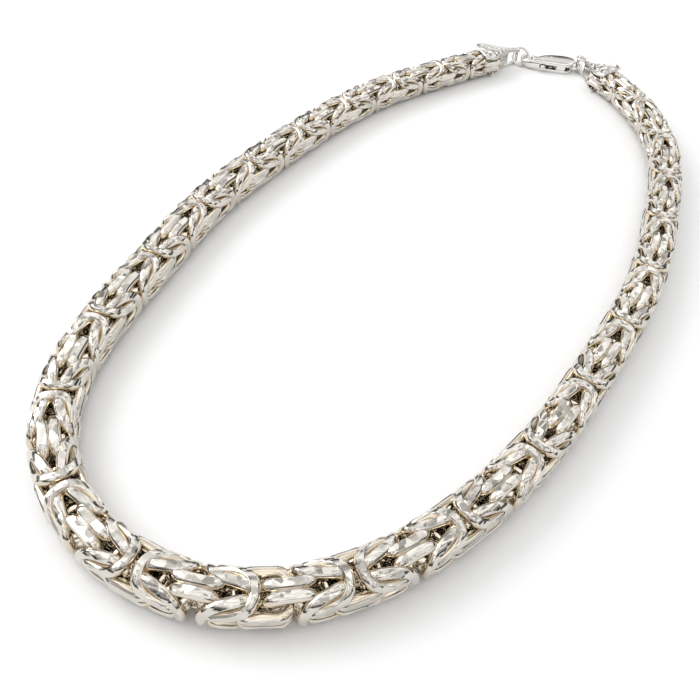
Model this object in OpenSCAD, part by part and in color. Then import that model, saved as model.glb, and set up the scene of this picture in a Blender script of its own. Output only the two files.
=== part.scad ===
// A graduated byzantine chain necklace, lying closed on a flat surface at Z = 0.
// Millimetres, +Z up. The widest links are at the front, at -Y, and the clasp is at the back.

/* [Necklace] */
// Length round the middle of the chain and the clasp
necklace_length = 465; // [460:5:560]

/* [Links] */
// Wire thickness of a link, as a share of the radius of its middle line
wire_share = 0.375; // [0.3:0.005:0.375]
// Width of the chain between its flattened faces, as a share of the same radius
width_share = 2.2; // [2.1:0.02:2.3]

/* [Clasp] */
// How far the lever swings into the hook, in degrees
lever_swing = 16; // [8:1:16]

/* [Hidden] */
silver = [0.86, 0.85, 0.82];
bright_silver = [0.9, 0.9, 0.88];
base_length = 465;
// The clasp and the caps are drawn for a necklace of the base length and grow with it
fit = necklace_length / base_length;

// Corners that the plan of the necklace is drawn through, from the left end round the front (x, y)
route = [[11, 74], [-11, 59], [-31, 31], [-45, 9], [-51, -9], [-67, -50], [-55, -79], [-30, -92],
  [-1, -85], [25, -58], [36, -39], [53, -11], [61, 17], [69, 47], [57, 82], [32, 89]];
route_steps = 24;
// Brings the middle of the whole necklace to the origin
centre_shift = [-1.39, 1.25];
// Place of the front link pair along the route
front_place = 202.4;

// Pattern: pairs of links joined by knots of four, one knot every half unit
front_unit = 20.46;
graduation = 0.00177;
half_units = 23;
last_modelled = 20;
// Right of the front, two link pairs are joined without a knot
plain_joint = 1.05;
plain_joint_lag = 0.31;
// Shape of the knot, as shares of the middle radius of a link
knot_spacing = 2.6;
knot_slide = 1.358;
knot_tilt = 26;
closed_offset = 0.21;
pair_offset = 0.208;

// End caps, measured from the last link pair
cap_back = 3.2;
cap_broad = -0.8;
cap_narrow = 8.6;
cap_bar_place = 11.2;
// How far each cap is turned out of the line of the chain, left and right
cap_turn_left = 8;
cap_turn_right = -11;
cap_tip_radius = 0.75;
cap_bar_radius = 0.45;
cap_floor_back = -0.3;
cap_floor_thickness = 0.7;
cap_floor_inset = 0.3;
cap_lid_thickness = 0.8;
cap_lid_back = 7.6;
cap_lid_slope = 11.8;
cap_core_start = 4;
cap_core_end = 7.8;
cap_wall_start = 3.3;
cap_pin_place = 1.5;
cap_gap = 0.75;
leaf_points = 20;

// Jump rings: middle radius, wire radius, height and lean
left_ring_radius = 2.42;
right_ring_radius = 1.9;
ring_wire = 0.38;
left_ring_height = 2.15;
left_ring_aside = -0.11;
left_ring_lean = -43;
left_ring_rise = 18;
right_ring_height = 1.5;
left_ring_to_hook = 0.67;
left_ring_to_bar = 1.28;
right_ring_to_bar = 0.85;
right_ring_to_post = 0.85;

// Clasp, measured from the post at its tail
clasp_thickness = 3;
clasp_slot = 1.1;
tail_slot = 1.34;
tail_slot_depth = 1.75;
tail_radius = 2.95;
tail_centre = 2.3;
post_radius = 0.45;
hook_wire = 0.6;
hook_shank = 0.65;
hook_height = 1.65;
hook_radius = 2.1;
hook_turn = 165;
hook_ball = 0.66;
rivet_place = [5.9, -0.35];
rivet_radius = 0.45;
running_gap = 0.04;
gate_width = 0.95;
gate_end_gap = 0.1;
hub_radius = 1.05;
lever_clearance = 0.16;
knob_radius = 0.7;
knob_arm = 0.8;
knob_reach = 3.45;
crown_radius = 9;

function blend(t) = [pow(1 - t, 3), 3 * pow(t, 3) - 6 * t * t + 4, -3 * pow(t, 3) + 3 * t * t + 3 * t + 1, pow(t, 3)] / 6;
function corner(i) = route[i % len(route)];
function route_point(i, t) = let(b = blend(t))
  b[0] * corner(i) + b[1] * corner(i + 1) + b[2] * corner(i + 2) + b[3] * corner(i + 3);
route_points = [for (i = [0:len(route) - 1], k = [0:route_steps - 1])
  fit * (route_point(i + len(route) - 1, k / route_steps) + centre_shift)];
loop_points = concat(route_points, [route_points[0]]);
function run_along(p) = [for (i = 0, s = 0; i < len(p); s = s + norm(p[(i + 1) % len(p)] - p[i]), i = i + 1) s];
loop_runs = run_along(loop_points);
loop_length = loop_runs[len(loop_runs) - 1];
x_along = [for (i = [0:len(loop_points) - 1]) [loop_runs[i], loop_points[i][0]]];
y_along = [for (i = [0:len(loop_points) - 1]) [loop_runs[i], loop_points[i][1]]];
function wrap(s) = s - loop_length * floor(s / loop_length);
function place(s) = [lookup(wrap(s), x_along), lookup(wrap(s), y_along)];
function heading_of(v) = atan2(v[1], v[0]);
function heading(s) = heading_of(place(s + 0.4) - place(s - 0.4));

// Units counted from the front, and how long half a unit is there
function lag(side, j) = side == 1 && j >= 2 ? plain_joint_lag : 0;
function half_unit(t) = fit * front_unit / 2 * (1 - graduation * t * t);
function step_to(side, j) = side == 1 && j == 2 ? plain_joint * half_unit(0.6) / knot_spacing
  : half_unit((j - 0.5) / 2 - lag(side, j));
function pair_runs(side) = [for (j = 0, s = 0; j <= half_units; s = s + step_to(side, j + 1), j = j + 1) s];
left_runs = pair_runs(-1);
right_runs = pair_runs(1);
function pair_place(side, j) = fit * front_place + side * (side == 1 ? right_runs[j] : left_runs[j]);
function pair_radius(side, j) = half_unit(j / 2 - lag(side, j)) / knot_spacing;
function knot_radius(side, j) = abs(pair_place(side, j + 1) - pair_place(side, j)) / knot_spacing;
function chain_height(side, j) = width_share * pair_radius(side, j);

// Stands its children at a place along the route, X along the chain and Z up
module along(s) translate(place(s)) rotate([0, 0, heading(s)]) children();

module link(radius) rotate_extrude($fn = 48) translate([radius, 0]) circle(r = wire_share * radius / 2, $fn = 24);

// A link flattened where it reaches the four faces of the chain
module pressed(radius) translate([0, 0, width_share * radius / 2]) intersection() {
  children();
  cube([4 * radius, width_share * radius, width_share * radius], center = true);
}

// Two links side by side, upright at even numbers and lying flat at odd ones
module link_pair(side, j) {
  radius = pair_radius(side, j);
  for (way = [-1, 1]) along(pair_place(side, j)) pressed(radius) {
    if (j % 2 == 0) translate([0, way * pair_offset * radius, 0]) rotate([90, 0, 0]) link(radius);
    else translate([0, 0, way * pair_offset * radius]) link(radius);
  }
}

// Two links of a knot that are closed where they join pair j and spread open at the next pair
module knot_pair(side, j, ahead, radius) {
  flat = j % 2 == 0;
  offset_out = (closed_offset + sin(knot_tilt)) * radius;
  for (way = [-1, 1]) along(pair_place(side, j) + side * ahead * knot_slide * radius) pressed(radius) {
    if (flat) translate([0, 0, way * offset_out]) rotate([0, -way * side * ahead * knot_tilt, 0]) link(radius);
    else translate([0, way * offset_out, 0]) rotate([0, 0, way * side * ahead * knot_tilt]) rotate([90, 0, 0])
      link(radius);
  }
}

module knot(side, j) {
  knot_pair(side, j, 1, knot_radius(side, j));
  knot_pair(side, j + 1, -1, knot_radius(side, j));
}

module chain_left() color(silver) {
  for (j = [0:last_modelled]) link_pair(-1, j);
  for (j = [0:last_modelled - 1]) knot(-1, j);
}

module chain_right() color(silver) {
  for (j = [1:last_modelled]) link_pair(1, j);
  for (j = [0:last_modelled - 1]) if (j != 1) knot(1, j);
}

// The finest stretch next to a cap, as one bar of the chain's own width with its corners cut
module chain_end(side) {
  start = pair_place(side, last_modelled) + side * (pair_radius(side, last_modelled) * (1 + wire_share / 2) + 0.2);
  end = pair_place(side, half_units) - side * (cap_back + cap_gap) * fit;
  rings = 6;
  corner_cut = 0.3;
  outline = [[1, -1 + 2 * corner_cut], [1, 1 - 2 * corner_cut], [1 - 2 * corner_cut, 1], [-1 + 2 * corner_cut, 1],
    [-1, 1 - 2 * corner_cut], [-1, -1 + 2 * corner_cut], [-1 + 2 * corner_cut, -1], [1 - 2 * corner_cut, -1]];
  sides = len(outline);
  points = [for (k = [0:rings - 1]) let(
      share = k / (rings - 1),
      s = start + (end - start) * share,
      half = (chain_height(side, last_modelled) * (1 - share) + chain_height(side, half_units) * share) / 2,
      out = heading(s) - 90 * side)
    for (o = outline) [place(s)[0] + o[0] * half * cos(out), place(s)[1] + o[0] * half * sin(out), half + o[1] * half]];
  walls = [for (k = [0:rings - 2], i = [0:sides - 1]) let(n = (i + 1) % sides)
    [k * sides + n, k * sides + sides + n, k * sides + sides + i, k * sides + i]];
  first = [for (i = [sides - 1:-1:0]) i];
  last = [for (i = [0:sides - 1]) (rings - 1) * sides + i];
  polyhedron(points, concat(walls, [first, last]));
}

module chain_end_left() color(silver) chain_end(-1);
module chain_end_right() color(silver) chain_end(1);

// Stands its children at the last link pair of a side, X towards the clasp
function cap_heading(side) = heading(pair_place(side, half_units))
  + (side == 1 ? cap_turn_right : 180 + cap_turn_left);
module at_cap(side) translate(place(pair_place(side, half_units)))
  rotate([0, 0, cap_heading(side)]) scale(fit) children();

// Half width of a cap's leaf outline at x: broad behind, drawn in to the narrow end by a smooth S
function ease(t) = t <= 0 ? 0 : t >= 1 ? 1 : t * t * (3 - 2 * t);
function leaf_half(x) = x < cap_broad ? 3.45 - 0.75 * pow((cap_broad - x) / (cap_broad + cap_back), 2)
  : cap_tip_radius + (3.45 - cap_tip_radius) * (1 - ease((x - cap_broad) / (cap_narrow - cap_broad)));

// Leaf outline from x = back to x = front, drawn in by the inset
module leaf(back, front, inset) {
  places = [for (i = [0:leaf_points]) back + (front - back) * i / leaf_points];
  polygon(concat([for (x = places) [x, leaf_half(x) - inset]],
    [for (i = [leaf_points:-1:0]) [places[i], inset - leaf_half(places[i])]]));
}

// Stands its children on the sloping top of the lid
module on_lid() translate([-cap_back, 0, cap_lid_back]) rotate([0, cap_lid_slope, 0]) translate([cap_back, 0, 0])
  children();

// Room under the middle of the lid's thickness
module under_lid() on_lid() translate([-10, -5, -cap_lid_back - 0.5 * cap_lid_thickness])
  cube([30, 10, cap_lid_back]);

// Raised lumps of the cast panel: x, y and radius of each
panel_lumps = [[-1.6, -1.5, 0.75], [-1.3, 1.2, 0.9], [0.2, -0.3, 1], [0.6, -1.8, 0.6], [1.2, 1.4, 0.7],
  [2.1, -0.9, 0.7], [2.5, 0.5, 0.65], [3.9, -0.4, 0.6], [4.1, 0.5, 0.45], [5.6, 0, 0.4]];
rim = 0.6;
panel_depth = 0.35;

module end_cap(side) at_cap(side) {
  linear_extrude(cap_floor_thickness) {
    leaf(cap_floor_back, cap_bar_place, cap_floor_inset);
    translate([cap_bar_place, 0]) circle(r = cap_tip_radius, $fn = 32);
  }
  difference() {
    on_lid() translate([0, 0, -cap_lid_thickness]) linear_extrude(cap_lid_thickness) {
      leaf(-cap_back, cap_bar_place, 0);
      translate([cap_bar_place, 0]) circle(r = cap_tip_radius, $fn = 32);
    }
    on_lid() translate([0, 0, -panel_depth]) linear_extrude(2) leaf(rim - cap_back, cap_narrow - 2, rim);
  }
  for (lump = panel_lumps) on_lid() translate([lump[0], lump[1], -panel_depth - lump[2] * 0.55])
    sphere(r = lump[2], $fn = 32);
  // The core between the plates, the pin through the last link pair and the bar for the jump ring
  intersection() {
    linear_extrude(cap_lid_back) leaf(side == 1 ? cap_wall_start : cap_core_start, cap_core_end, side == 1 ? 0.45 : 0.7);
    under_lid();
  }
  intersection() {
    translate([cap_pin_place, 0, 0]) cylinder(r = cap_bar_radius, h = cap_lid_back, $fn = 32);
    under_lid();
  }
  intersection() {
    translate([cap_bar_place, 0, 0]) cylinder(r = cap_bar_radius, h = cap_lid_back, $fn = 32);
    under_lid();
  }
}

module end_cap_left() color(bright_silver) end_cap(-1);
module end_cap_right() color(bright_silver) end_cap(1);

// The clasp lies on the line between the bars of the two caps
function cap_bar(side) = place(pair_place(side, half_units))
  + fit * cap_bar_place * [cos(cap_heading(side)), sin(cap_heading(side))];
clasp_line = cap_bar(-1) - cap_bar(1);
clasp_heading = heading_of(clasp_line);
bar_distance = norm(clasp_line) / fit;
post_place = right_ring_to_bar + right_ring_to_post;
hook_place = bar_distance - post_place - left_ring_to_bar - left_ring_to_hook;

// Stands its children at the right cap's bar, X along the clasp towards the left cap
module at_clasp() translate(cap_bar(1)) rotate([0, 0, clasp_heading]) scale(fit) children();

module wire_ring(radius) rotate_extrude($fn = 48) translate([radius, 0]) circle(r = ring_wire, $fn = 24);

module jump_ring_right() color(bright_silver) at_clasp()
  translate([right_ring_to_bar, 0, right_ring_height]) wire_ring(right_ring_radius);

module jump_ring_left() color(bright_silver) at_clasp()
  translate([bar_distance - left_ring_to_bar, left_ring_aside, left_ring_height])
    rotate([left_ring_lean, -left_ring_rise, 0]) wire_ring(left_ring_radius);

// Stands its children at the post in the tail of the clasp
module at_post() at_clasp() translate([post_place, 0, 0]) children();

hook_centre = hook_place - hook_radius;
neck_place = hook_centre - 3;
hook_tip = [hook_centre + hook_radius * cos(90 - hook_turn), hook_radius * sin(90 - hook_turn)];
gate_line = hook_tip - rivet_place;
gate_length = norm(gate_line) - hook_ball - gate_end_gap;
knob_place = [neck_place - 0.9, knob_reach];
knob_line = knob_place - rivet_place;
middle = clasp_thickness / 2;

// The lever from above
module lever_outline() translate(rivet_place) {
  circle(r = hub_radius, $fn = 32);
  rotate(heading_of(gate_line)) translate([0, -gate_width / 2]) square([gate_length, gate_width]);
  rotate(heading_of(knob_line)) translate([0, -knob_arm / 2]) square([norm(knob_line), knob_arm]);
}

// The room that an arm of the lever sweeps as it swings
module swept_arm(way, reach, width) {
  half = width / 2 + lever_clearance;
  first = way - 2;
  last = way + lever_swing + 2;
  polygon([half * [sin(first), -cos(first)],
    reach * [cos(first), sin(first)] + half * [sin(first), -cos(first)],
    reach * [cos(last), sin(last)] - half * [sin(last), -cos(last)],
    half * [-sin(last), cos(last)]]);
}

module lever_room() translate(rivet_place) {
  circle(r = hub_radius + lever_clearance, $fn = 32);
  swept_arm(heading_of(gate_line), gate_length + 2, gate_width);
  swept_arm(heading_of(knob_line), norm(knob_line) + 2, knob_arm);
}

module clasp_outline() {
  translate([tail_centre, 0]) circle(r = tail_radius, $fn = 48);
  polygon([[tail_centre + 0.4, tail_radius - 0.04], [neck_place - 2, tail_radius - 0.12], [neck_place + 0.6, 2.75],
    [neck_place + 1.4, 2.6], [neck_place + 1.6, 1.5], [neck_place + 1.2, 0.4], [neck_place + 0.5, -0.7],
    [neck_place - 0.7, -1.75], [neck_place - 2.6, -2.5], [tail_centre + 0.4, -tail_radius + 0.04]]);
}

module clasp_body() color(bright_silver) at_post() {
  difference() {
    intersection() {
      linear_extrude(clasp_thickness) clasp_outline();
      translate([-3, 0, clasp_thickness - crown_radius]) rotate([0, 90, 0]) cylinder(r = crown_radius, h = 20, $fn = 96);
    }
    translate([0, 0, middle - clasp_slot / 2]) linear_extrude(clasp_slot) lever_room();
    translate([-4, -5, middle - tail_slot / 2]) cube([4 + tail_slot_depth, 10, tail_slot]);
    translate([rivet_place[0], rivet_place[1], -1]) cylinder(r = rivet_radius, h = 6, $fn = 32);
  }
  cylinder(r = post_radius, h = clasp_thickness - 0.4, $fn = 32);
  translate([hook_centre, 0, hook_height]) {
    rotate([0, 0, 90 - hook_turn]) {
      rotate_extrude(angle = hook_turn + 4, $fn = 48) translate([hook_radius, 0]) circle(r = hook_wire, $fn = 24);
      translate([hook_radius, 0, 0]) sphere(r = hook_ball, $fn = 32);
    }
    translate([-2.4, hook_radius, 0]) rotate([0, 90, 0]) cylinder(r = hook_shank, h = 2.4, $fn = 24);
  }
}

module clasp_lever() color(bright_silver) at_post() difference() {
  union() {
    translate([0, 0, middle - clasp_slot / 2 + 0.08]) linear_extrude(clasp_slot - 0.16) lever_outline();
    translate([knob_place[0], knob_place[1], middle]) sphere(r = knob_radius, $fn = 32);
  }
  translate([rivet_place[0], rivet_place[1], -1]) cylinder(r = rivet_radius + running_gap, h = 6, $fn = 32);
}

module clasp_rivet() color(bright_silver) at_post() translate([rivet_place[0], rivet_place[1], 0])
  cylinder(r = rivet_radius, h = clasp_thickness - 0.1, $fn = 32);

chain_left();
chain_right();
chain_end_left();
chain_end_right();
end_cap_left();
end_cap_right();
jump_ring_left();
jump_ring_right();
clasp_body();
clasp_lever();
clasp_rivet();
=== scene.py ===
# Dresses the byzantine necklace: woven silver links, leaf caps, jump rings and lobster clasp, on a pale studio floor.
import numpy as np
import bpy
from mathutils import Matrix, Vector


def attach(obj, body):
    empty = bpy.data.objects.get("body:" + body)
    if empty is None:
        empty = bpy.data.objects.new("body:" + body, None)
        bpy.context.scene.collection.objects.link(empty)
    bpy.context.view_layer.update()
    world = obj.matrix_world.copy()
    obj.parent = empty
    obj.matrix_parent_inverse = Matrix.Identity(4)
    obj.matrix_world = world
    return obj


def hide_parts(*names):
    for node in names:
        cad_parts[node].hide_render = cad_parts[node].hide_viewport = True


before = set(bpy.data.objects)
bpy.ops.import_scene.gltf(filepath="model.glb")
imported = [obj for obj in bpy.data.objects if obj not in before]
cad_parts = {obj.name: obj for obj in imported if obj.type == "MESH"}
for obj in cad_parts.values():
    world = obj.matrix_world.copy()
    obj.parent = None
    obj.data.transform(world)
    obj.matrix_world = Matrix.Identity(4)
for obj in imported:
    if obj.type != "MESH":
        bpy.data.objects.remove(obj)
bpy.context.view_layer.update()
mm = 0.001


# helpers for surfaces
# One mesh from points in metres and an (m, 4) array of corner numbers. A number that comes twice makes a triangle.
def meshFrom(name, points, faces, smooth=True):
    mesh = bpy.data.meshes.new(name)
    mesh.from_pydata(points.reshape(-1, 3).tolist(), [], [list(dict.fromkeys(f)) for f in faces.tolist()])
    mesh.polygons.foreach_set("use_smooth", np.full(len(mesh.polygons), smooth))
    mesh.update()
    piece = bpy.data.objects.new(name, mesh)
    bpy.context.scene.collection.objects.link(piece)
    return piece


# Corner numbers of the quads between neighbours of a rows x columns grid, wrapped where it is closed.
def gridFaces(rows, columns, closedRows=True, closedColumns=True):
    i = np.arange(rows if closedRows else rows - 1)[:, None]
    k = np.arange(columns if closedColumns else columns - 1)[None, :]
    nextRow, nextColumn = (i + 1) % rows, (k + 1) % columns
    quads = np.stack([i * columns + k, nextRow * columns + k, nextRow * columns + nextColumn,
                      i * columns + nextColumn], -1)
    return quads.reshape(-1, 4)


# Makes the edges between marked and unmarked faces sharp: those with just one marked face of their two.
def creaseRound(piece, marked):
    mesh = piece.data
    edgeOf = np.empty(len(mesh.loops), np.int32)
    mesh.loops.foreach_get("edge_index", edgeOf)
    count = np.bincount(edgeOf, weights=np.repeat(marked, 4).astype(float), minlength=len(mesh.edges))
    mesh.attributes.new("sharp_edge", "BOOLEAN", "EDGE").data.foreach_set("value", count == 1)


# Stores one number for each point of the mesh, in the order of its points.
def addAttribute(piece, name, values):
    layer = piece.data.attributes.new(name, "FLOAT", "POINT")
    layer.data.foreach_set("value", np.ascontiguousarray(values, dtype=np.float32).ravel())


# 3 x 3 matrices that turn by the given degrees about the x, y or z axis, one for each number given.
def turnAbout(axis, degrees):
    a = np.radians(np.atleast_1d(degrees).astype(float))
    c, s, o, l = np.cos(a), np.sin(a), np.zeros_like(a), np.ones_like(a)
    rows = {"x": [l, o, o, o, c, -s, o, s, c], "y": [c, o, s, o, l, o, -s, o, c],
            "z": [c, -s, o, s, c, o, o, o, l]}[axis]
    return np.stack(rows, -1).reshape(-1, 3, 3)


# Closed uniform cubic B-spline through blended corners: for each corner, points at t from 0 to 1 with the weights
# (1 - t)^3, 3 t^3 - 6 t^2 + 4, -3 t^3 + 3 t^2 + 3 t + 1 and t^3, in sixths, on the corner before it, the corner
# itself and the next two.
def smoothClosed(corners, steps):
    p = np.array(corners, float)
    t = (np.arange(steps) / steps)[None, :, None]
    a, b, c, d = (np.roll(p, n, 0)[:, None, :] for n in (1, 0, -1, -2))
    return ((a * (1 - t) ** 3 + b * (3 * t ** 3 - 6 * t ** 2 + 4) + c * (-3 * t ** 3 + 3 * t ** 2 + 3 * t + 1)
             + d * t ** 3) / 6).reshape(-1, 2)


# the way the necklace lies, in mm
necklace = {
    "corners": [(11, 74), (-11, 59), (-31, 31), (-45, 9), (-51, -9), (-67, -50), (-55, -79), (-30, -92),
                (-1, -85), (25, -58), (36, -39), (53, -11), (61, 17), (69, 47), (57, 82), (32, 89)],
    "shift": (-1.39, 1.25),
    "steps": 24,                    # points of the route for each corner
    "front": 202.4,                 # running length at the middle of the front
}


# The chain's route on the surface, as points and running lengths, with the first point again at the end.
def layRoute(shape):
    points = smoothClosed(shape["corners"], shape["steps"]) + np.array(shape["shift"])
    points = np.vstack([points, points[:1]])
    runs = np.concatenate([[0], np.cumsum(np.linalg.norm(np.diff(points, axis=0), axis=1))])
    return points, runs


routePoints, routeRuns = layRoute(necklace)


# Point of the route at running length s, straight between its points.
def place(s):
    s = np.mod(s, routeRuns[-1])
    return np.stack([np.interp(s, routeRuns, routePoints[:, 0]), np.interp(s, routeRuns, routePoints[:, 1])], -1)


# Direction of the route in degrees, from the step between 0.4 mm before s and 0.4 mm after it.
def heading(s):
    d = place(np.asarray(s) + 0.4) - place(np.asarray(s) - 0.4)
    return np.degrees(np.arctan2(d[..., 1], d[..., 0]))


# the weave
weave = {
    # length of the front unit in mm, how it shrinks with the square of a unit's number, half units on each side
    "frontUnit": 20.46, "graduation": 0.00177, "halfUnits": 23,
    "plainJoint": 1.05, "plainLag": 0.31,    # the place right of the front where a knot is missing
    # in middle radii of a link: from pair to pair, from a pair to the knot's links, how far out these stand and
    # how far out a pair's links stand; and the tilt of the knot's links in degrees
    "spacing": 2.6, "slide": 1.3, "out": 0.555, "pair": 0.292, "tilt": 21.5,
    "width": 2.24, "corners": 3.0,  # between the flattened faces, in middle radii, and squareness of the chain
    "lean": 13.0, "leanFade": 30.0, # degrees the front and back face the viewer, fading out so many mm from the caps
    "wire": 0.54, "pairWire": 0.59, # wire thickness in middle radii, in the knots and in the pairs
    "press": 0.19,                  # share of the wire's radius pressed away
    # half lengths of a link's middle line in middle radii: in the knots, in the pairs and in the last pair
    "long": 1.08, "pairLong": 1.13, "lastLong": 0.985,
    "middle": 1.1, "knotMiddle": 1.04,    # half widths of it, in the pairs and in the knots
    "square": 2.2,                  # squareness of it
    "taper": 0.42, "taperPower": 6, # how much thinner the wire is at the two ends of a pair's links, and how suddenly
    "fill": 0.7, "fillReach": 0.55, # how much thicker the knots' wire is in the middle of the chain, under the gaps
    "draw": 14, "slack": 1.01,      # how suddenly, and how far out, a middle line is held to the chain's section
    "around": 40, "across": 16, "flatRows": 2,    # points round a link and round its wire, and rows to the flat's rim
    "leastPress": 0.3, "uneven": 0.015,    # least half angle of the flat in radians, and how unevenly it is pressed
    "seed": 4,
}


# How much the right side's graduation lags behind, in units, past the missing knot.
def lag(side, j):
    return weave["plainLag"] if side == 1 and j >= 2 else 0.0


# Length of half a unit, t units from the front: c (1 - g t^2).
def halfUnit(t):
    return weave["frontUnit"] / 2 * (1 - weave["graduation"] * t * t)


# Length along the route from pair j - 1 to pair j.
def stepTo(side, j):
    if side == 1 and j == 2:
        return weave["plainJoint"] * halfUnit(0.6) / weave["spacing"]
    return halfUnit((j - 0.5) / 2 - lag(side, j))


# Every link of one side: place along the route, middle radius, offset and turning in the chain's own frame, and
# its form, which is half length, half width, taper and wire thickness in middle radii.
def layLinks(side):
    runs = np.concatenate([[0], np.cumsum([stepTo(side, j) for j in range(1, weave["halfUnits"] + 1)])])
    placeOf = necklace["front"] + side * runs
    links = []
    for j in range(0 if side == -1 else 1, weave["halfUnits"] + 1):
        radius = halfUnit(j / 2 - lag(side, j)) / weave["spacing"]
        for way in (-1, 1):
            out = way * weave["pair"] * radius
            form = (weave["pairLong"] if j < weave["halfUnits"] else weave["lastLong"], weave["middle"],
                    weave["taper"], weave["pairWire"])
            if j % 2 == 0:
                links.append((placeOf[j], radius, (0, out, 0), (90, 0, 0), form))
            else:
                links.append((placeOf[j], radius, (0, 0, out), (0, 0, 0), form))
    for j in range(weave["halfUnits"]):
        if side == 1 and j == 1:    # the missing knot
            continue
        radius = abs(placeOf[j + 1] - placeOf[j]) / weave["spacing"]
        form = (weave["long"], weave["knotMiddle"], 0, weave["wire"])
        out = weave["out"] * radius
        for end, ahead in ((j, 1), (j + 1, -1)):
            s = placeOf[end] + side * ahead * weave["slide"] * radius
            for way in (-1, 1):
                lean = way * side * ahead * weave["tilt"]
                if end % 2 == 0:
                    links.append((s, radius, (0, 0, way * out), (0, -lean, 0), form))
                else:
                    links.append((s, radius, (0, way * out, 0), (90, 0, lean), form))
    return links


# where the last link pairs lie along the route, left and right
capPlaces = [necklace["front"] + side * sum(stepTo(side, j) for j in range(1, weave["halfUnits"] + 1))
             for side in (-1, 1)]


# Distance from the chain's middle line, as the chain's section measures it: (|y|^m + |z|^m)^(1/m).
def sectionReach(points):
    m = weave["corners"]
    return (np.abs(points[..., 1]) ** m + np.abs(points[..., 2]) ** m) ** (1 / m)


# Links: each middle line is a long superellipse, |x / a|^n + |y / b|^n = 1, turned and set in the chain's frame,
# leaned towards the viewer and drawn in smoothly to the chain's section. A wire circle is carried round it, with its
# first point facing out of the chain and two rows along the rims of the pressed flat. Then it is pressed and stood
# on the route.
def wireLinks(name, links):
    s = np.array([l[0] for l in links])
    radius = np.array([l[1] for l in links])
    offset = np.array([l[2] for l in links], float)
    turns = np.array([l[3] for l in links], float)
    around, across = weave["around"], weave["across"]
    u = np.linspace(0, 2 * np.pi, around, endpoint=False)[None, :]
    big = radius[:, None]
    half = weave["width"] / 2 * big
    long, broad, taper, wire = np.array([l[4] for l in links]).T[:, :, None]
    long, broad = long * big, broad * big
    wire = wire / 2 * big * (1 - taper * np.cos(u) ** weave["taperPower"])
    n = weave["square"]
    reach = (np.abs(np.cos(u) / long) ** n + np.abs(np.sin(u) / broad) ** n) ** (-1 / n)
    line = np.stack([reach * np.cos(u), reach * np.sin(u), 0 * reach], -1)
    line = np.einsum("nab,nib->nia", turnAbout("z", turns[:, 2]) @ turnAbout("y", turns[:, 1])
                     @ turnAbout("x", turns[:, 0]), line) + offset[:, None, :]
    toCap = np.minimum(s - capPlaces[0], capPlaces[1] - s)
    lean = weave["lean"] * np.cos(np.radians(heading(s))) * np.clip(toCap / weave["leanFade"], 0, 1)
    line = np.einsum("nab,nib->nia", turnAbout("x", lean), line)
    inside = np.clip(1 - sectionReach(line) / (weave["fillReach"] * half), 0, 1)
    wire = wire * (1 + weave["fill"] * (taper == 0) * inside)
    limit = (half - (1 - weave["press"]) * wire) * weave["slack"]
    far = sectionReach(line) / limit
    line[..., 1:] *= ((1 + far ** weave["draw"]) ** (-1 / weave["draw"]))[..., None]
    far = sectionReach(line)
    along = np.roll(line, -1, 1) - np.roll(line, 1, 1)
    along /= np.linalg.norm(along, axis=-1)[..., None]
    outward = np.sign(line) * np.abs(line) ** (weave["corners"] - 1) * (0, 1, 1)
    outward -= along * (outward * along).sum(-1)[..., None]
    outward /= np.linalg.norm(outward, axis=-1)[..., None]
    aside = np.cross(along, outward)
    # turning of each row round the wire: the flat reaches to where the wire meets the pressed face
    rim = np.maximum(np.arccos(np.clip((half - far) / wire, -1, 1)), weave["leastPress"])[..., None]
    k = np.arange(across // 2 + 1)
    flat = weave["flatRows"]
    rows = np.where(k <= flat, rim * k / flat, rim + (np.pi - rim) * (k - flat) / (across // 2 - flat))
    v = np.concatenate([rows, -rows[..., -2:0:-1]], -1)[..., None]
    ring = line[:, :, None, :] + wire[..., None, None] * (np.cos(v) * outward[:, :, None, :]
                                                          - np.sin(v) * aside[:, :, None, :])
    rng = np.random.default_rng(weave["seed"])
    uneven = 1 - weave["uneven"] * rng.random((len(links), 1, 1))
    share = sectionReach(ring) / half[..., None]
    ring[..., 1:] *= np.minimum(1, uneven / share)[..., None]
    depth = 1 - np.minimum(share, uneven)
    pressed = (k <= flat)[None, None, :] & (rim > weave["leastPress"] + 0.02)    # only where the face is met
    pressed = np.concatenate([pressed, pressed[..., -2:0:-1]], -1)
    stand = turnAbout("z", heading(s))
    ring = np.einsum("nab,nijb->nija", stand, ring)
    ring[..., :2] += place(s)[:, None, None, :]
    ring[..., 2] += half[..., None]
    faces = gridFaces(around, across)
    each = around * across
    faces = (faces[None] + (np.arange(len(links)) * each)[:, None, None]).reshape(-1, 4)
    piece = meshFrom(name, ring * mm, faces)
    creaseRound(piece, pressed.reshape(-1)[faces].all(1))
    addAttribute(piece, "depth", depth)
    return piece


linksLeft = wireLinks("links_left", layLinks(-1))
linksRight = wireLinks("links_right", layLinks(1))
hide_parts("chain_left", "chain_end_left")
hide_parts("chain_right", "chain_end_right")
for piece in (linksLeft, linksRight):
    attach(piece, "necklace")
print("links woven:", len(linksLeft.data.polygons) + len(linksRight.data.polygons), "faces")


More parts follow.
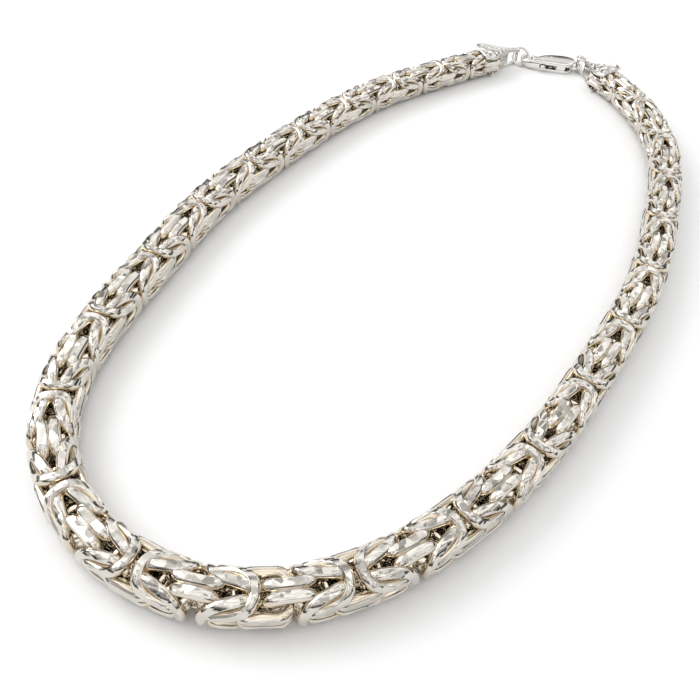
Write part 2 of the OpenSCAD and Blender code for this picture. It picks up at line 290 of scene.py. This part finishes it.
# plates, bars and bands
# A plate: rings of its outline, scaled from the centre out over the top, drawn in by each (inset, height)
# of the edge, and back to the centre underneath. top and bottom are heights, or functions of x and y.
def slabPart(outline, centre, top, edge, bottom, topRows=6, bottomRows=3):
    along = np.roll(outline, -1, 0) - np.roll(outline, 1, 0)
    inward = np.stack([-along[:, 1], along[:, 0]], -1) / np.linalg.norm(along, axis=1)[:, None]
    centre = np.array(centre, float)

    def heightOf(form, xy):
        return form(xy[..., 0], xy[..., 1]) if callable(form) else np.full(xy.shape[:-1], float(form))

    first = outline + inward * edge[0][0]
    last = outline + inward * edge[-1][0]
    f = np.linspace(0, 1, topRows + 1)[1:, None, None]
    over = centre + (first - centre) * f
    rows = [np.concatenate([over, heightOf(top, over)[..., None]], -1)]
    for inset, z in edge[1:-1]:
        xy = outline + inward * inset
        rows.append(np.concatenate([xy, heightOf(z, xy)[:, None]], -1)[None])
    f = np.linspace(1, 0, bottomRows + 1)[:-1, None, None]
    under = centre + (last - centre) * f
    rows.append(np.concatenate([under, heightOf(bottom, under)[..., None]], -1))
    grid = np.concatenate(rows)
    poles = [np.append(centre, heightOf(h, centre[None])[0]) for h in (top, bottom)]
    return polePart(grid, poles)


# Closes a stack of rings with one point before the first and one after the last.
def polePart(grid, poles):
    count, around = grid.shape[:2]
    points = np.vstack([grid.reshape(-1, 3), poles])
    k = np.arange(around)
    n = (k + 1) % around
    a, b = count * around, count * around + 1
    base = (count - 1) * around
    start = np.stack([np.full(around, a), k, n, n], -1)
    end = np.stack([np.full(around, b), base + n, base + k, base + k], -1)
    return points, np.vstack([gridFaces(count, around, closedRows=False), start, end])


domeReach = 0.9    # how far a bar's domed end reaches past its path, in its smaller half size


# A bar carried along a path that lies level: its section has half sizes wide and high and the rounded form
# (|cos v|^n + |sin v|^n)^(-1 / n), and its ends shrink along a quarter circle to a point.
def bandPart(path, wide, high, sides=16, square=2.6, dome=4):
    path, wide, high = np.array(path, float), np.array(wide, float), np.array(high, float)
    along = np.gradient(path, axis=0)
    along /= np.linalg.norm(along, axis=1)[:, None]
    a = np.linspace(0, np.pi / 2, dome + 1)[:-1]
    reach = min(wide[0], high[0]) * domeReach
    front = path[0] - along[0] * reach * np.sin(np.pi / 2 - a)[:, None]
    reachEnd = min(wide[-1], high[-1]) * domeReach
    back = (path[-1] + along[-1] * reachEnd * np.sin(np.pi / 2 - a)[:, None])[::-1]
    share = np.cos(np.pi / 2 - a)
    keepFront, keepBack = share[1:], share[1:][::-1]
    points = np.vstack([front[1:], path, back[:-1]])
    w = np.concatenate([wide[0] * keepFront, wide, wide[-1] * keepBack])
    h = np.concatenate([high[0] * keepFront, high, high[-1] * keepBack])
    d = np.vstack([np.repeat(along[:1], dome - 1, 0), along, np.repeat(along[-1:], dome - 1, 0)])
    v = np.linspace(0, 2 * np.pi, sides, endpoint=False)
    cosine, sine = np.cos(v), np.sin(v)
    oval = (np.abs(cosine) ** square + np.abs(sine) ** square) ** (-1 / square)
    aside = np.stack([d[:, 1], -d[:, 0], 0 * d[:, 0]], -1)
    grid = (points[:, None, :] + aside[:, None, :] * (w[:, None] * (oval * cosine)[None])[..., None]
            + np.array([0, 0, 1.0]) * (h[:, None] * (oval * sine)[None])[..., None])
    return polePart(grid, [front[0], back[-1]])


# An upright round bar between two heights, or two functions of x and y, with slightly broken edges.
def pillarPart(x, y, radius, low, high, sides=20):
    v = np.linspace(0, 2 * np.pi, sides, endpoint=False)
    outline = np.stack([x + radius * np.cos(v), y + radius * np.sin(v)], -1)
    return slabPart(outline, (x, y), high, [(0.03, 0), (0, high), (0, low), (0.03, 0)], low, 1, 1)


# An ellipsoid: radii times (sin t cos v, sin t sin v, cos t).
def ballPart(centre, radii, rows=10, sides=18):
    t = np.linspace(0, np.pi, rows + 2)[1:-1, None]
    v = np.linspace(0, 2 * np.pi, sides, endpoint=False)[None]
    grid = np.stack([np.sin(t) * np.cos(v), np.sin(t) * np.sin(v), np.cos(t) + 0 * v], -1) * radii + centre
    return polePart(grid, [np.array(centre) + (0, 0, radii[2]), np.array(centre) - (0, 0, radii[2])])


# Puts several closed parts, in mm, into one mesh and stands it in the necklace with a 4 x 4 matrix.
def joined(name, parts, stand):
    points, faces, count = [], [], 0
    for p, f in parts:
        points.append(p)
        faces.append(f + count)
        count += len(p)
    points = np.vstack(points) @ stand[:3, :3].T + stand[:3, 3]
    return meshFrom(name, points * mm, np.vstack(faces))


# The 4 x 4 matrix that turns by the degrees about the upright and then moves to x, y and z.
def standing(x, y, degrees, z=0.0):
    m = np.eye(4)
    m[:3, :3] = turnAbout("z", degrees)[0]
    m[:3, 3] = (x, y, z)
    return m


# leaf caps, in mm
cap = {
    # places along the leaf: back, broadest, narrow and the eye's bar; its half widths where it is broadest and at
    # the tip, and how much narrower the back is
    "back": -3.2, "broad": -0.8, "narrow": 8.6, "bar": 11.2, "halfBroad": 3.45, "tip": 0.75, "backIn": 0.75,
    "lidBack": 7.6, "lidSlope": 11.8, "lidThick": 0.7,    # height behind, slope to the eye in degrees, thickness
    "lidLean": 10.0,                # degrees the lids face the viewer
    "floorBack": -0.3, "floorThick": 0.7, "floorInset": 0.3,
    "rim": 0.62, "panel": 0.34, "pin": 1.5, "barRadius": 0.45,    # rim's width, panel's depth, pin's place
    "coreLeft": (4.0, 7.8, 0.7), "coreRight": (3.3, 7.8, 0.45),    # start, end and inset of the core
    "turnLeft": 8.0, "turnRight": -11.0,    # degrees off the chain's direction
    "lumpRise": 1.1, "lumpSpread": 2.2,    # of every lump, in its height and in the square of its half widths
    # lumps of the cast panel: x, y, long and short half widths, turning, height
    "lumps": [(-1.7, -1.6, 1.1, 0.6, 20, 0.3), (-1.4, 1.1, 1.2, 0.8, -30, 0.34), (0.3, -0.4, 1.3, 0.8, 10, 0.36),
              (0.7, -1.9, 0.9, 0.5, 35, 0.26), (1.3, 1.4, 1.0, 0.6, -15, 0.3), (2.3, -0.9, 0.9, 0.55, 40, 0.3),
              (2.8, 0.6, 0.9, 0.5, -35, 0.28), (4.1, -0.5, 0.8, 0.4, 15, 0.24), (4.4, 0.5, 0.7, 0.35, -20, 0.24),
              (5.8, 0.0, 0.9, 0.3, 5, 0.2), (-0.4, 2.3, 0.6, 0.35, 10, 0.22), (-2.3, 0.0, 0.6, 0.5, 80, 0.24)],
}


# Half width of the leaf: in front of the broadest place it falls with the smooth step t t (3 - 2 t), and behind it
# with the square of the way back.
def leafHalf(x):
    t = np.clip((x - cap["broad"]) / (cap["narrow"] - cap["broad"]), 0, 1)
    front = cap["tip"] + (cap["halfBroad"] - cap["tip"]) * (1 - t * t * (3 - 2 * t))
    back = cap["halfBroad"] - cap["backIn"] * ((cap["broad"] - x) / (cap["broad"] - cap["back"])) ** 2
    return np.where(x < cap["broad"], back, front)


# Outline of the leaf between two places along it: both sides, a straight back, and a half circle at the tip.
def leafOutline(back, front, inset=0.0, roundTip=True, count=34):
    x = np.linspace(front, back, count)
    upper = np.stack([x, leafHalf(x) - inset], -1)
    lower = upper[::-1] * (1, -1)
    across = np.linspace(1, -1, 12)[1:-1, None]
    behind = np.hstack([np.full_like(across, back), across * (leafHalf(np.array(back)) - inset)])
    parts = [upper, behind, lower]
    if roundTip:
        v = np.linspace(-np.pi / 2, np.pi / 2, 14)[1:-1]
        r = cap["tip"] - inset
        parts.append(np.stack([front + r * np.cos(v), r * np.sin(v)], -1))
    return np.vstack(parts)


# Height of the lid's sloping top above the surface: it falls towards the eye, and a little towards the viewer.
def lidHeight(x, y, side):
    along, aside = np.tan(np.radians((cap["lidSlope"], cap["lidLean"])))
    return cap["lidBack"] - (x - cap["back"]) * along - side * y * aside


# The sunk panel, with low paraboloid lumps over it, lift (1 - (u^2 + v^2) / c), the highest one at each point.
def castPanel(x, y, side):
    height = np.zeros_like(x)
    for cx, cy, a, b, turn, lift in cap["lumps"]:
        c, s = np.cos(np.radians(turn)), np.sin(np.radians(turn))
        u, v = ((x - cx) * c + (y - cy) * s) / a, (-(x - cx) * s + (y - cy) * c) / b
        swell = np.clip(1 - (u * u + v * v) / cap["lumpSpread"], 0, 1)
        height = np.maximum(height, cap["lumpRise"] * lift * swell)
    return lidHeight(x, y, side) - cap["panel"] + height


# A cap: lid, floor plate, core and two pins, in its own frame with X towards the eye, stood at its last links.
# Gives the piece and the place of the bar that is its eye.
def leafCap(name, side):
    def lid(drop):
        return lambda x, y: lidHeight(x, y, side) - drop

    edge = [(cap["rim"] + 0.06, 0), (cap["rim"] - 0.04, lid(0.24)), (cap["rim"] - 0.1, lid(0.06)),
            (cap["rim"] - 0.2, lid(0.0)), (0.2, lid(-0.02)), (0.08, lid(0.03)), (0.0, lid(0.15)), (0.0, lid(0.6)),
            (0.06, lid(cap["lidThick"] - 0.05)), (0.16, 0)]
    parts = [slabPart(leafOutline(cap["back"], cap["bar"], count=60), (-0.4, 0), lambda x, y: castPanel(x, y, side),
                      edge, lid(cap["lidThick"]), topRows=26)]
    thick = cap["floorThick"]
    parts.append(slabPart(leafOutline(cap["floorBack"], cap["bar"], cap["floorInset"]), (1.5, 0), thick,
                          [(0.14, 0), (0.03, thick - 0.05), (0, thick - 0.16), (0, 0.12), (0.05, 0.03), (0.14, 0)],
                          0.0, 3))
    start, end, inset = cap["coreRight"] if side == 1 else cap["coreLeft"]
    under = lid(cap["lidThick"] * 0.5)
    parts.append(slabPart(leafOutline(start, end, inset, roundTip=False, count=16), ((start + end) / 2, 0), under,
                          [(0.05, 0), (0.0, lid(cap["lidThick"])), (0.0, 0.7), (0.05, 0)], 0.3, 1, 1))
    for x in (cap["pin"], cap["bar"]):
        parts.append(pillarPart(x, 0, cap["barRadius"], lambda a, b: 0 * a + 0.3, under))
    s = capPlaces[(side + 1) // 2]
    x, y = place(s)
    turn = heading(s) + (cap["turnRight"] if side == 1 else 180 + cap["turnLeft"])
    piece = joined(name, parts, standing(x, y, turn))
    bar = np.array((x, y)) + cap["bar"] * np.array((np.cos(np.radians(turn)), np.sin(np.radians(turn))))
    return piece, bar


capLeft, barLeft = leafCap("cap_left", -1)
capRight, barRight = leafCap("cap_right", 1)
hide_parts("end_cap_left")
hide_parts("end_cap_right")
print("caps cast, bars at", barLeft.round(2), barRight.round(2))


# jump rings and clasp, in mm
clasp = {
    "thick": 3.0, "plate": 0.92, "postRadius": 0.45,
    "tail": 2.95, "tailCentre": 2.3, "tailOut": 1.06,    # radius and place, and how far out its blended corners are
    "core": (1.75, 4.4, 0.18),      # start, end and inset of the core between the plates
    "crown": 0.25, "ridge": 1.0,    # fall of the face at the tail's radius from its highest line, and where that is
    # corners of the nose, x from the neck and y
    "nose": [(-3.4, -2.7), (-1.9, -2.05), (-0.5, -1.1), (0.5, -0.1), (1.5, 0.8), (2.4, 1.4), (2.6, 2.6),
             (0.2, 2.85), (-2, 2.92), (-4, 2.98)],
    # the hook: half size, radius and height at its end, and the degrees that it turns through
    "hookWire": 0.6, "hookRadius": 2.1, "hookTurn": 165.0, "hookHeight": 1.65,
    "rootHigh": 1.36, "rootWide": 0.82, "rootHeight": 1.5,    # half sizes and height of the hook where it starts
    # the lever: room for the hook's tip, half width of its arm, place of the knob from the neck and its radii
    "rivet": (5.9, -0.35), "rivetRadius": 0.45, "hub": 1.4, "gateWide": 1.15, "gateGap": 0.1, "tipRoom": 0.66,
    "slot": 1.1, "clearance": 0.16, "armHalf": 0.4, "knobPlace": (-0.9, 3.45), "knob": (0.78, 0.66, 0.7),
}
rings = {
    # radius of the wire, then radii, heights, distances along the clasp's line, and tipping in degrees
    "wire": 0.38, "right": 1.9, "rightHeight": 1.5, "rightToBar": 0.85, "rightToPost": 0.85,
    "left": 2.42, "leftHeight": 2.15, "leftAside": -0.11, "leftLean": -43.0, "leftRise": 18.0,
    "leftToHook": 0.67, "leftToBar": 1.28,
}
claspLine = barLeft - barRight
barDistance = np.linalg.norm(claspLine)
claspTurn = np.degrees(np.arctan2(claspLine[1], claspLine[0]))
claspStand = standing(*barRight, claspTurn)
post = rings["rightToBar"] + rings["rightToPost"]
postStand = claspStand @ standing(post, 0, 0)
hookCentre = barDistance - post - rings["leftToBar"] - rings["leftToHook"] - clasp["hookRadius"]
neck = hookCentre - 3


# A torus: a circle of the wire's radius carried round a circle of the ring's.
def ringPart(radius, wire, around=48, across=14):
    u = np.linspace(0, 2 * np.pi, around, endpoint=False)[:, None]
    v = np.linspace(0, 2 * np.pi, across, endpoint=False)[None]
    reach = radius + wire * np.cos(v)
    grid = np.stack([reach * np.cos(u), reach * np.sin(u), wire * np.sin(v) + 0 * u], -1)
    return grid.reshape(-1, 3), gridFaces(around, across)


# A ring tipped by lean about the clasp's line and by rise across it, in the frame of the clasp.
def jumpRing(name, radius, at, lean, rise):
    m = np.eye(4)
    m[:3, :3] = turnAbout("y", -rise)[0] @ turnAbout("x", lean)[0]
    m[:3, 3] = at
    return joined(name, [ringPart(radius, rings["wire"])], claspStand @ m)


ringRight = jumpRing("ring_right", rings["right"], (rings["rightToBar"], 0, rings["rightHeight"]), 0, 0)
ringLeft = jumpRing("ring_left", rings["left"], (barDistance - rings["leftToBar"], rings["leftAside"],
                                                 rings["leftHeight"]), rings["leftLean"], rings["leftRise"])
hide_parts("jump_ring_right")
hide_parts("jump_ring_left")


# Crowned face: highest along a line on the near side, and falling off as the square of the distance from it.
def claspFace(x, y):
    return clasp["thick"] - clasp["crown"] * ((y - clasp["ridge"]) / clasp["tail"]) ** 2


# The clasp's body: two plates of one outline, the core between them, post, rivet and hook.
def claspBody():
    r, c = clasp["tail"], clasp["tailCentre"]
    v = np.radians(np.arange(75, 286, 21))
    out = clasp["tailOut"] * r
    corners = [(c + out * np.cos(a), out * np.sin(a)) for a in v]
    corners += [(neck + x, y) for x, y in clasp["nose"]]
    outline = smoothClosed(corners, 7)
    plate = clasp["plate"]
    upper = slabPart(outline, (c + 1.5, 0), claspFace,
                     [(0.2, 0), (0.08, lambda x, y: claspFace(x, y) - 0.05),
                      (0.01, lambda x, y: claspFace(x, y) - 0.15),
                      (0.0, clasp["thick"] - plate + 0.1), (0.08, clasp["thick"] - plate), (0.12, 0)],
                     clasp["thick"] - plate, 6, 2)
    lower = slabPart(outline, (c + 1.5, 0), plate,
                     [(0.12, 0), (0.03, plate - 0.04), (0.0, plate - 0.12), (0.0, 0.22), (0.06, 0.07), (0.18, 0)],
                     0.0, 2, 3)
    # the core between the plates, drawn in a little so that a line shows round the side
    start, end, inset = clasp["core"]
    inside = outline[(outline[:, 0] > start) & (outline[:, 0] < end)]
    top, bottom = inside[inside[:, 1] > 0], inside[inside[:, 1] < 0]
    core = np.vstack([top[np.argsort(-top[:, 0])] - (0, inset), bottom[np.argsort(bottom[:, 0])] + (0, inset)])
    middle = slabPart(core, (3.1, 0), clasp["thick"] - plate + 0.1,
                      [(0.02, 0), (0, clasp["thick"] - plate), (0, plate), (0.02, 0)], plate - 0.1, 1, 1)
    parts = [upper, lower, middle, pillarPart(0, 0, clasp["postRadius"], 0.3, clasp["thick"] - 0.5),
             pillarPart(*clasp["rivet"], clasp["rivetRadius"], 0.02, clasp["thick"] - 0.02)]
    # the hook: straight from the nose, then round and back to its tip, thinning with a smooth step
    turn = np.radians(np.linspace(90, 90 - clasp["hookTurn"], 22))
    r = clasp["hookRadius"]
    path = np.vstack([np.stack([np.linspace(hookCentre - 2.6, hookCentre - 0.25, 8), np.full(8, r)], -1),
                      np.stack([hookCentre + r * np.cos(turn), r * np.sin(turn)], -1)])
    t = np.linspace(0, 1, len(path))
    fall = np.clip((t - 0.1) / 0.55, 0, 1)
    fall = fall * fall * (3 - 2 * fall)
    high = clasp["rootHigh"] + (clasp["hookWire"] - clasp["rootHigh"]) * fall
    wide = clasp["rootWide"] + (clasp["hookWire"] - clasp["rootWide"]) * fall
    middleHeight = clasp["rootHeight"] + (clasp["hookHeight"] - clasp["rootHeight"]) * fall
    parts.append(bandPart(np.column_stack([path, middleHeight]), wide, high, sides=20, square=2.8))
    return joined("clasp_shell", parts, postStand)


# The lever: a hub round the rivet, the gate to the hook's tip, and an arm with its knob.
def claspLever():
    rivet = np.array(clasp["rivet"])
    a = np.radians(90 - clasp["hookTurn"])
    tip = np.array((hookCentre + clasp["hookRadius"] * np.cos(a), clasp["hookRadius"] * np.sin(a)))
    gate = tip - rivet
    length = np.linalg.norm(gate) - clasp["tipRoom"] - clasp["gateGap"]
    gate /= np.linalg.norm(gate)
    knob = np.array((neck, 0)) + clasp["knobPlace"]
    middle = clasp["thick"] / 2
    high = (clasp["slot"] - clasp["clearance"]) / 2
    half = clasp["gateWide"] / 2
    t = np.linspace(0, 1, 12)[:, None]
    gatePath = rivet + gate * (length - domeReach * min(high, half)) * t
    knobPath = rivet + (knob - rivet) * t
    level = np.full((12, 1), middle)
    one = np.ones(12)
    v = np.linspace(0, 2 * np.pi, 28, endpoint=False)
    hub = rivet + clasp["hub"] * np.stack([np.cos(v), np.sin(v)], -1)
    parts = [bandPart(np.hstack([gatePath, level]), half * one, high * one, square=3.4),
             bandPart(np.hstack([knobPath, level]), clasp["armHalf"] * one, high * one, square=3.4),
             slabPart(hub, rivet, middle + high, [(0.05, 0), (0, middle + high - 0.05), (0, middle - high + 0.05),
                                                  (0.05, 0)], middle - high, 1, 1),
             ballPart((*knob, middle), clasp["knob"])]
    return joined("lever", parts, postStand)


shell = claspBody()
lever = claspLever()
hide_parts("clasp_body", "clasp_rivet")
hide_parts("clasp_lever")
for piece in (capLeft, capRight, ringRight, ringLeft, shell):
    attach(piece, "necklace")
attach(lever, "lever")
print("clasp built, bars", round(float(barDistance), 2), "mm apart")


# silver
silver = {
    "fitting": (0.8, 0.78, 0.745, 1), # colour of caps, rings and clasp
    "roughness": 0.08, "roughSwing": (-0.04, 0.06), "roughEdges": (0.3, 0.7),    # and the clouds that it goes with
    # colour of the links by depth below the chain's faces, in half widths, painted: warm and a little darker as shade
    # at the flanks, paler inside as light in the gaps between links
    "shadeAndLightByDepth": [(0.04, (0.68, 0.645, 0.59, 1)), (0.1, (0.7, 0.61, 0.485, 1)), (0.2, (0.72, 0.645, 0.53, 1)),
                (0.4, (0.86, 0.8, 0.7, 1))],
    # hammer marks: width in metres, how far they lean, and the depths between which they fade
    "facetSize": 0.0015, "facetTilt": 0.3, "facetFade": (0.016, 0.024),
    # dents, hairlines and clouds of roughness: how many to a metre, and how deep in metres
    "dentSize": 700.0, "dentDepth": 0.000015, "dentSoft": 0.35,
    "scratchSize": 4200.0, "scratchDepth": 0.000006, "cloudSize": 350.0,
}


# Bright metal. The surface direction is leaned by a random amount in each cell of a field of cells, which makes
# hammered facets; fine dents and hairlines are bump; the colour follows the depth attribute, with painted shade
# on the flanks and painted light deeper in.
def polishedSilver(name, woven):
    m = bpy.data.materials.new(name)
    m.use_nodes = True
    nodes, links = m.node_tree.nodes, m.node_tree.links
    shader = nodes["Principled BSDF"]
    shader.inputs["Metallic"].default_value = 1.0
    coords = nodes.new("ShaderNodeTexCoord")
    dents = nodes.new("ShaderNodeTexVoronoi")
    dents.feature = "SMOOTH_F1"
    dents.inputs["Scale"].default_value = silver["dentSize"]
    dents.inputs["Smoothness"].default_value = silver["dentSoft"]
    links.new(coords.outputs["Object"], dents.inputs["Vector"])
    hairs = nodes.new("ShaderNodeTexNoise")
    hairs.inputs["Scale"].default_value = silver["scratchSize"]
    hairs.inputs["Detail"].default_value = 3.0
    links.new(coords.outputs["Object"], hairs.inputs["Vector"])
    bumpA = nodes.new("ShaderNodeBump")
    bumpA.inputs["Distance"].default_value = silver["dentDepth"]
    links.new(dents.outputs["Distance"], bumpA.inputs["Height"])
    bumpB = nodes.new("ShaderNodeBump")
    bumpB.inputs["Distance"].default_value = silver["scratchDepth"]
    links.new(hairs.outputs["Fac"], bumpB.inputs["Height"])
    links.new(bumpA.outputs["Normal"], bumpB.inputs["Normal"])
    links.new(bumpB.outputs["Normal"], shader.inputs["Normal"])
    cloud = nodes.new("ShaderNodeTexNoise")
    cloud.inputs["Scale"].default_value = silver["cloudSize"]
    cloud.inputs["Detail"].default_value = 4.0
    links.new(coords.outputs["Object"], cloud.inputs["Vector"])
    rough = nodes.new("ShaderNodeMapRange")
    rough.inputs["From Min"].default_value, rough.inputs["From Max"].default_value = silver["roughEdges"]
    rough.inputs["To Min"].default_value = silver["roughness"] + silver["roughSwing"][0]
    rough.inputs["To Max"].default_value = silver["roughness"] + silver["roughSwing"][1]
    links.new(cloud.outputs["Fac"], rough.inputs["Value"])
    links.new(rough.outputs["Result"], shader.inputs["Roughness"])
    if not woven:
        shader.inputs["Base Color"].default_value = silver["fitting"]
        return m
    depth = nodes.new("ShaderNodeAttribute")
    depth.attribute_name = "depth"
    # painted shade and light: the base colour goes warm and a little darker on the flanks, and paler deep in the gaps
    paintedShadeAndLight = nodes.new("ShaderNodeValToRGB")
    stops = paintedShadeAndLight.color_ramp.elements
    stops[0].position, stops[0].color = silver["shadeAndLightByDepth"][0]
    stops[1].position, stops[1].color = silver["shadeAndLightByDepth"][-1]
    for position, colour in silver["shadeAndLightByDepth"][1:-1]:
        stops.new(position).color = colour
    links.new(depth.outputs["Fac"], paintedShadeAndLight.inputs["Fac"])
    links.new(paintedShadeAndLight.outputs["Color"], shader.inputs["Base Color"])
    # facets on the outer faces only
    cells = nodes.new("ShaderNodeTexVoronoi")
    cells.inputs["Scale"].default_value = 1 / silver["facetSize"]
    links.new(coords.outputs["Object"], cells.inputs["Vector"])
    centred = nodes.new("ShaderNodeVectorMath")
    centred.operation = "SUBTRACT"
    centred.inputs[1].default_value = (0.5, 0.5, 0.5)
    links.new(cells.outputs["Color"], centred.inputs[0])
    outer = nodes.new("ShaderNodeMapRange")
    outer.inputs["From Min"].default_value, outer.inputs["From Max"].default_value = silver["facetFade"]
    outer.inputs["To Min"].default_value = silver["facetTilt"]
    outer.inputs["To Max"].default_value = 0.0
    links.new(depth.outputs["Fac"], outer.inputs["Value"])
    lean = nodes.new("ShaderNodeVectorMath")
    lean.operation = "SCALE"
    links.new(centred.outputs["Vector"], lean.inputs[0])
    links.new(outer.outputs["Result"], lean.inputs["Scale"])
    facing = nodes.new("ShaderNodeNewGeometry")
    leaned = nodes.new("ShaderNodeVectorMath")
    leaned.operation = "ADD"
    links.new(facing.outputs["Normal"], leaned.inputs[0])
    links.new(lean.outputs["Vector"], leaned.inputs[1])
    unit = nodes.new("ShaderNodeVectorMath")
    unit.operation = "NORMALIZE"
    links.new(leaned.outputs["Vector"], unit.inputs[0])
    links.new(unit.outputs["Vector"], bumpA.inputs["Normal"])
    return m


wovenSilver = polishedSilver("woven_silver", True)
smoothSilver = polishedSilver("smooth_silver", False)
for piece in (linksLeft, linksRight):
    piece.data.materials.append(wovenSilver)
for piece in (capLeft, capRight, ringRight, ringLeft, shell, lever):
    piece.data.materials.append(smoothSilver)
print("silver laid on:", wovenSilver.name, "and", smoothSilver.name)


# floor, light and camera
studio = {
    "floor": (0.96, 0.96, 0.96, 1), "floorRoughness": 0.6, "floorHalf": 1.5,
    "sky": [(0.0, 0.2), (0.03, 0.05), (0.17, 0.08), (0.36, 0.75), (0.75, 1.0), (1.0, 1.0)],    # height, brightness
    "skyStrength": 1.35, "cloudScale": 3.8, "cloudEdges": (0.36, 0.62), "cloudDark": 0.3, "cloudBright": 1.25,
    "softBox": ((-0.7, 0.25, 0.6), (0.6, 0.6), 4.0),    # place, size and power
    "camera": (-0.01146, -0.15178, 0.13251), "elevation": 47.35, "roll": 4.19, "lens": 45.63,    # m, degrees, mm
}


# A plain square on the surface, z = 0.
def layFloor():
    size = studio["floorHalf"]
    corners = np.array([(-size, -size, 0), (size, -size, 0), (size, size, 0), (-size, size, 0)])
    floor = meshFrom("floor", corners, np.array([[0, 1, 2, 3]]), smooth=False)
    m = bpy.data.materials.new("pale_floor")
    m.use_nodes = True
    shader = m.node_tree.nodes["Principled BSDF"]
    shader.inputs["Base Color"].default_value = studio["floor"]
    shader.inputs["Roughness"].default_value = studio["floorRoughness"]
    floor.data.materials.append(m)


# A rectangular lamp that faces the origin.
def addLamp(name, where, size, power):
    lamp = bpy.data.lights.new(name, "AREA")
    lamp.shape = "RECTANGLE"
    lamp.size, lamp.size_y = size
    lamp.energy = power
    holder = bpy.data.objects.new(name, lamp)
    holder.location = where
    holder.rotation_euler = (-Vector(where)).to_track_quat("-Z", "Y").to_euler()
    bpy.context.scene.collection.objects.link(holder)


# Sky brightness: a ramp with height, dark near the horizon, times soft clouds of light and shade, as in a tent
def lightWorld():
    world = bpy.data.worlds.new("studio")
    bpy.context.scene.world = world
    world.use_nodes = True
    nodes, links = world.node_tree.nodes, world.node_tree.links
    background = nodes["Background"]
    coords = nodes.new("ShaderNodeTexCoord")
    split = nodes.new("ShaderNodeSeparateXYZ")
    ramp = nodes.new("ShaderNodeValToRGB")
    stops = ramp.color_ramp.elements
    for end in (0, -1):
        position, level = studio["sky"][end]
        stops[end].position, stops[end].color = position, (level, level, level, 1)
    for position, level in studio["sky"][1:-1]:
        stops.new(position).color = (level, level, level, 1)
    clouds = nodes.new("ShaderNodeTexNoise")
    clouds.inputs["Scale"].default_value = studio["cloudScale"]
    clouds.inputs["Detail"].default_value = 1.5
    shade = nodes.new("ShaderNodeMapRange")
    shade.inputs["From Min"].default_value, shade.inputs["From Max"].default_value = studio["cloudEdges"]
    shade.inputs["To Min"].default_value = studio["cloudDark"]
    shade.inputs["To Max"].default_value = studio["cloudBright"]
    times = nodes.new("ShaderNodeMix")
    times.data_type = "RGBA"
    times.blend_type = "MULTIPLY"
    times.inputs["Factor"].default_value = 1.0
    links.new(coords.outputs["Generated"], split.inputs["Vector"])
    links.new(coords.outputs["Generated"], clouds.inputs["Vector"])
    links.new(split.outputs["Z"], ramp.inputs["Fac"])
    links.new(clouds.outputs["Fac"], shade.inputs["Value"])
    links.new(ramp.outputs["Color"], times.inputs["A"])
    links.new(shade.outputs["Result"], times.inputs["B"])
    links.new(times.outputs["Result"], background.inputs["Color"])
    background.inputs["Strength"].default_value = studio["skyStrength"]


# Looks along the given elevation from the front, rolled by a few degrees, as the photo does.
def setCamera():
    e, r = np.radians(studio["elevation"]), np.radians(studio["roll"])
    ahead = Vector((0, np.cos(e), -np.sin(e)))
    flatUp, flatRight = Vector((0, np.sin(e), np.cos(e))), Vector((1, 0, 0))
    right = flatRight * np.cos(r) + flatUp * np.sin(r)
    up = flatUp * np.cos(r) - flatRight * np.sin(r)
    camera = bpy.data.objects.new("camera", bpy.data.cameras.new("camera"))
    camera.data.lens = studio["lens"]
    camera.data.sensor_width = 36
    camera.data.clip_start = 0.01
    turned = Matrix((right, up, -ahead)).transposed().to_4x4()
    camera.matrix_world = Matrix.Translation(Vector(studio["camera"])) @ turned
    bpy.context.scene.collection.objects.link(camera)
    bpy.context.scene.camera = camera


layFloor()
lightWorld()
addLamp("soft_box", *studio["softBox"])
setCamera()
bpy.context.scene.view_settings.view_transform = "Standard"
print("studio set")
